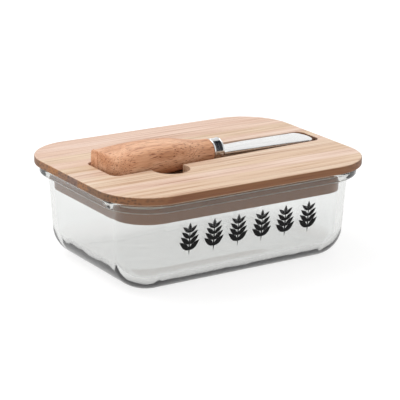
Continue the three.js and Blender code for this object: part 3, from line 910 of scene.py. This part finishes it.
tang_space = tang_hole(blade_low[0] - FIT_GAP, nose_x + FIT_GAP, HANDLE_HOLE_POWER, 48)
handle_mesh = mill("handle", surface("handle", handle_points()), [cutter("tang_hole", tang_space)])
handle = place("knife_handle_turned", handle_mesh, 40)
fit(handle, "knife", "beech", beech, "knife_handle")

ferrule_mesh = surface("knife_ferrule_beaded", ferrule_points(), "ring")
ferrule = place("knife_ferrule_beaded", ferrule_mesh, 45)
fit(ferrule, "knife", "steel", ferrule_steel, "knife_ferrule")

blade = place("knife_blade_ground", surface("knife_blade_ground", blade_points()), 45)
fit(blade, "knife", "steel", blade_steel, "knife_blade")


# ---- printed sprigs --------------------------------------------------------------------------

def leaf_bodies(start, heading, length, width, along=14, round_steps=8):
    """Thin pointed leaves, one closed body for each start point, in the plane of the print.

    Across a leaf the section is a flat ellipse. Its half-width at share t of the length is
    width / 2 times sin(pi t^0.8), and its midrib runs straight along the heading.
    """
    t = np.linspace(0.001, 0.999, along)
    turn = np.linspace(0, 2 * math.pi, round_steps, endpoint=False)
    half = width[:, None] / 2 * np.sin(math.pi * t**0.8)
    forward = np.stack([np.cos(heading), np.sin(heading)], axis=-1)
    sideways = np.stack([-np.sin(heading), np.cos(heading)], axis=-1)
    rib = start[:, None] + forward[:, None] * (t[:, None] * length[:, None, None])
    aside = half[:, None, :, None] * np.cos(turn)[:, None, None]
    plan = rib[:, None] + sideways[:, None, None] * aside
    rise = np.broadcast_to((PRINT_THICKNESS * np.sin(turn))[:, None], plan.shape[1:3])
    rise = np.broadcast_to(rise, plan.shape[:3])
    return np.concatenate([plan, rise[..., None]], axis=-1)


def sprig():
    """One upright sprig: a stem and pairs of leaves that shrink towards the top."""
    foot = -PRINT_HEIGHT / 2
    pairs = np.arange(LEAF_PAIRS)
    start = np.column_stack([0 * pairs, foot + LEAF_FIRST + LEAF_STEP * pairs])
    spread = np.radians(LEAF_SPREAD)
    length = LEAF_LENGTH - LEAF_SHRINK * pairs
    leaves = [leaf_bodies(start, np.full(LEAF_PAIRS, math.pi / 2 - side * spread), length,
                          LEAF_SLIMNESS * length)
              for side in (-1, 1)]
    stem_and_bud = leaf_bodies(
        np.array([[0, foot], [0, foot + BUD_LEVEL]]), np.full(2, math.pi / 2),
        np.array([PRINT_HEIGHT - STEM_SHORTER, BUD_LENGTH]), np.array([STEM_WIDTH, BUD_WIDTH]))
    return np.concatenate([*leaves, stem_and_bud])


def on_front_wall(points):
    """Puts points (along, up, proud) on the glass: y follows the wall's lean at their level."""
    along, up, proud = np.moveaxis(points, -1, 0)
    level = PRINT_LEVEL + up
    wall_y = -(core[1] + wall_top_radius - draft_at(level))
    return np.stack([along, wall_y - proud, level], axis=-1)


def print_mesh(name):
    """All the sprigs in one mesh: the same closed bodies, shifted along the front wall."""
    one = sprig()
    shift = np.linspace(-0.5, 0.5, SPRIGS) * (PRINT_LENGTH - SPRIG_WIDTH)
    bodies = np.concatenate([one + np.array([x, 0, 0]) for x in shift])
    columns, rows = bodies.shape[1:3]
    index = np.arange(columns * rows).reshape(columns, rows)
    after = np.roll(index, -1, axis=0)
    quads = np.stack([index[:, :-1], index[:, 1:], after[:, 1:], after[:, :-1]], axis=-1)
    quads = quads.reshape(-1, 4)
    starts = np.arange(len(bodies)) * columns * rows
    faces = (starts[:, None, None] + quads).reshape(-1, 4).tolist()
    for end in (index[:, 0], index[::-1, -1]):
        faces += (starts[:, None] + end).tolist()
    mesh = bpy.data.meshes.new(name)
    mesh.from_pydata((on_front_wall(bodies).reshape(-1, 3) * MM).tolist(), [], faces)
    shape = bmesh.new()
    shape.from_mesh(mesh)
    bmesh.ops.recalc_face_normals(shape, faces=shape.faces)
    shape.to_mesh(mesh)
    shape.free()
    return mesh


sprigs = place("printed_sprigs", print_mesh("printed_sprigs"), 60)
fit(sprigs, "dish", "glass", enamel)


# ---- stage -----------------------------------------------------------------------------------

FLOOR_HALF = 8  # metres
FLOOR_LEVEL = -0.0002
TABLE_GLOW = 0.8
SKY_STRENGTH = 1.15
# A black card in the sky. A direction is on it when its X is near CARD_ACROSS and its dot product
# with CARD_MIDDLE is high.
CARD_ACROSS = 0.519
CARD_SIDES = (0.17, 0.13)  # from CARD_ACROSS: where it starts to darken, and where it is black
CARD_MIDDLE = (0, -0.643, 0.766)
CARD_ENDS = (0.37, 0.43)


def stage_plane(name, half, level, colour, rough):
    """A square plane, 2 half on a side, in metres, with a faint mottle: a table lit from below."""
    corners = np.array([[-1, -1], [1, -1], [1, 1], [-1, 1]]) * half
    mesh = bpy.data.meshes.new(name)
    mesh.from_pydata(np.column_stack([corners, np.full(4, level)]).tolist(), [], [[0, 1, 2, 3]])
    plane = bpy.data.objects.new(name, mesh)
    bpy.context.scene.collection.objects.link(plane)
    material, tree, shader = new_material(name)
    position = add(tree, "TexCoord").outputs["Object"]
    mottle = add(tree, "TexNoise", {0: position, "Scale": 3.0, "Detail": 2.0})
    tint = add(tree, "ValToRGB", {0: mottle.outputs["Fac"]}, stops=[
        (0.3, colour[0]), (0.7, colour[1])])
    tree.links.new(tint.outputs[0], shader.inputs["Base Color"])
    shader.inputs["Roughness"].default_value = rough
    shader.inputs["Emission Color"].default_value = linear("#ffffff")
    shader.inputs["Emission Strength"].default_value = TABLE_GLOW
    mesh.materials.append(material)


stage_plane("floor", FLOOR_HALF, FLOOR_LEVEL, ("#878787", "#8b8b8b"), 0.9)


def soft_light(name, place_at, target, size, watts, colour):
    """A square area light at a point, in metres, turned to its target."""
    data = bpy.data.lights.new(name, "AREA")
    data.size = size
    data.energy = watts
    data.color = linear(colour)[:3]
    light = bpy.data.objects.new(name, data)
    light.location = place_at
    light.rotation_mode = "QUATERNION"
    light.rotation_quaternion = (Vector(place_at) - Vector(target)).to_track_quat("Z", "Y")
    bpy.context.scene.collection.objects.link(light)


soft_light("top softbox", place_at=(-0.5, 0.45, 1.2), target=(0, 0, 0), size=1.0, watts=9,
           colour="#ffffff")

world = bpy.data.worlds.new("studio")
world.use_nodes = True
sky = world.node_tree
direction = add(sky, "TexCoord").outputs["Generated"]
height = add(sky, "SeparateXYZ", {0: direction})
shade = add(sky, "ValToRGB", {0: height.outputs["Z"]}, stops=[
    (0.0, "#ffffff"), (0.3, "#f4f4f4"), (0.8, "#e6e6e6")])
# The card is long and narrow, to the right of the dish, and curves from the front up over the lid
sideways = add(sky, "Math", {0: height.outputs["X"], 1: -CARD_ACROSS}, operation="ADD")
off_card = add(sky, "Math", {0: sideways.outputs[0]}, operation="ABSOLUTE")
across = add(sky, "MapRange", {"Value": off_card.outputs[0], "From Min": CARD_SIDES[0],
                               "From Max": CARD_SIDES[1]})
towards = add(sky, "VectorMath", {0: direction, 1: CARD_MIDDLE}, operation="DOT_PRODUCT")
lengthwise = add(sky, "MapRange", {"Value": towards.outputs["Value"], "From Min": CARD_ENDS[0],
                                   "From Max": CARD_ENDS[1]})
darkness = add(sky, "Math", {0: across.outputs[0], 1: lengthwise.outputs[0]}, operation="MULTIPLY")
room = mixed(sky, darkness.outputs[0], shade.outputs[0], linear("#1c1f26"))
sky.links.new(room, sky.nodes["Background"].inputs["Color"])
sky.nodes["Background"].inputs["Strength"].default_value = SKY_STRENGTH
bpy.context.scene.world = world
bpy.context.scene.view_settings.view_transform = "Standard"

# Camera: a long lens at the front left, a little above the lid
CAMERA_AZIMUTH = math.radians(-32.9)
CAMERA_ELEVATION = math.radians(17.26)
CAMERA_ROLL = math.radians(0.8)
CAMERA_DISTANCE = 1.0112
CAMERA_TARGET = Vector((0, 0, 0.035))
CAMERA_SIDESTEP = 0.00118
CAMERA_RISE = -0.00317
CAMERA_SENSOR = 36  # millimetres
CAMERA_LENS = 157.97

back_axis = Vector((
    math.sin(CAMERA_AZIMUTH) * math.cos(CAMERA_ELEVATION),
    -math.cos(CAMERA_AZIMUTH) * math.cos(CAMERA_ELEVATION),
    math.sin(CAMERA_ELEVATION),
))
level_right = Vector((math.cos(CAMERA_AZIMUTH), math.sin(CAMERA_AZIMUTH), 0))
level_up = back_axis.cross(level_right)
right_axis = level_right * math.cos(CAMERA_ROLL) + level_up * math.sin(CAMERA_ROLL)
up_axis = level_up * math.cos(CAMERA_ROLL) - level_right * math.sin(CAMERA_ROLL)
camera_data = bpy.data.cameras.new("camera")
camera_data.sensor_width = CAMERA_SENSOR
camera_data.lens = CAMERA_LENS
camera = bpy.data.objects.new("camera", camera_data)
turned = Matrix((right_axis, up_axis, back_axis)).transposed().to_4x4()
spot = CAMERA_TARGET + back_axis * CAMERA_DISTANCE
spot += right_axis * CAMERA_SIDESTEP + up_axis * CAMERA_RISE
camera.matrix_world = Matrix.Translation(spot) @ turned
bpy.context.scene.collection.objects.link(camera)
bpy.context.scene.camera = camera
